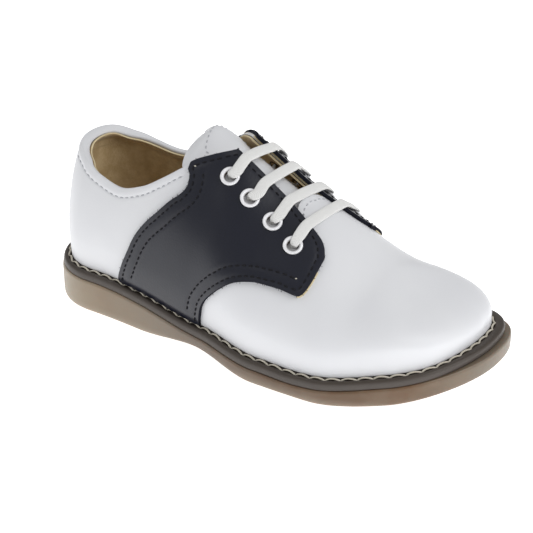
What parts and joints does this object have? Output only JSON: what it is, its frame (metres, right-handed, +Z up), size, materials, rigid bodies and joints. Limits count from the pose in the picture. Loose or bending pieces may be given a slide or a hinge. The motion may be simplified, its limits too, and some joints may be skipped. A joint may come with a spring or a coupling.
{
  "type": "saddle shoe",
  "caption": "Child's low lace-up saddle shoe for the right foot: smooth white leather with a dark navy saddle, stitched brown welt and thick rubber sole.",
  "frame": {"origin": "on the floor under the middle of the outsole's plan", "axes": "+X to the toe, +Y to the inner side of the right foot, +Z up"},
  "size_m": [0.17, 0.0738, 0.0713],
  "materials": {
    "sole_rubber": "satin translucent brown rubber",
    "welt_rubber": "satin dark brown rubber with white lock stitches",
    "tan_lining": "soft matt lining leather",
    "white_leather": "smooth satin leather",
    "navy_leather": "smooth satin leather",
    "white_enamel": "glossy enamel",
    "white_lace": "flat woven cotton"
  },
  "bodies": {
    "root": {"outsole": "sole_rubber", "welt": "welt_rubber", "insole": "tan_lining", "upper": "white_leather", "saddle_outer": "navy_leather", "saddle_inner": "navy_leather", "tongue": "white_leather", "eyelet_outer_1": "white_enamel", "eyelet_outer_2": "white_enamel", "eyelet_outer_3": "white_enamel", "eyelet_outer_4": "white_enamel", "eyelet_inner_1": "white_enamel", "eyelet_inner_2": "white_enamel", "eyelet_inner_3": "white_enamel", "eyelet_inner_4": "white_enamel", "lace": "white_lace"}
  },
  "joints": []
}
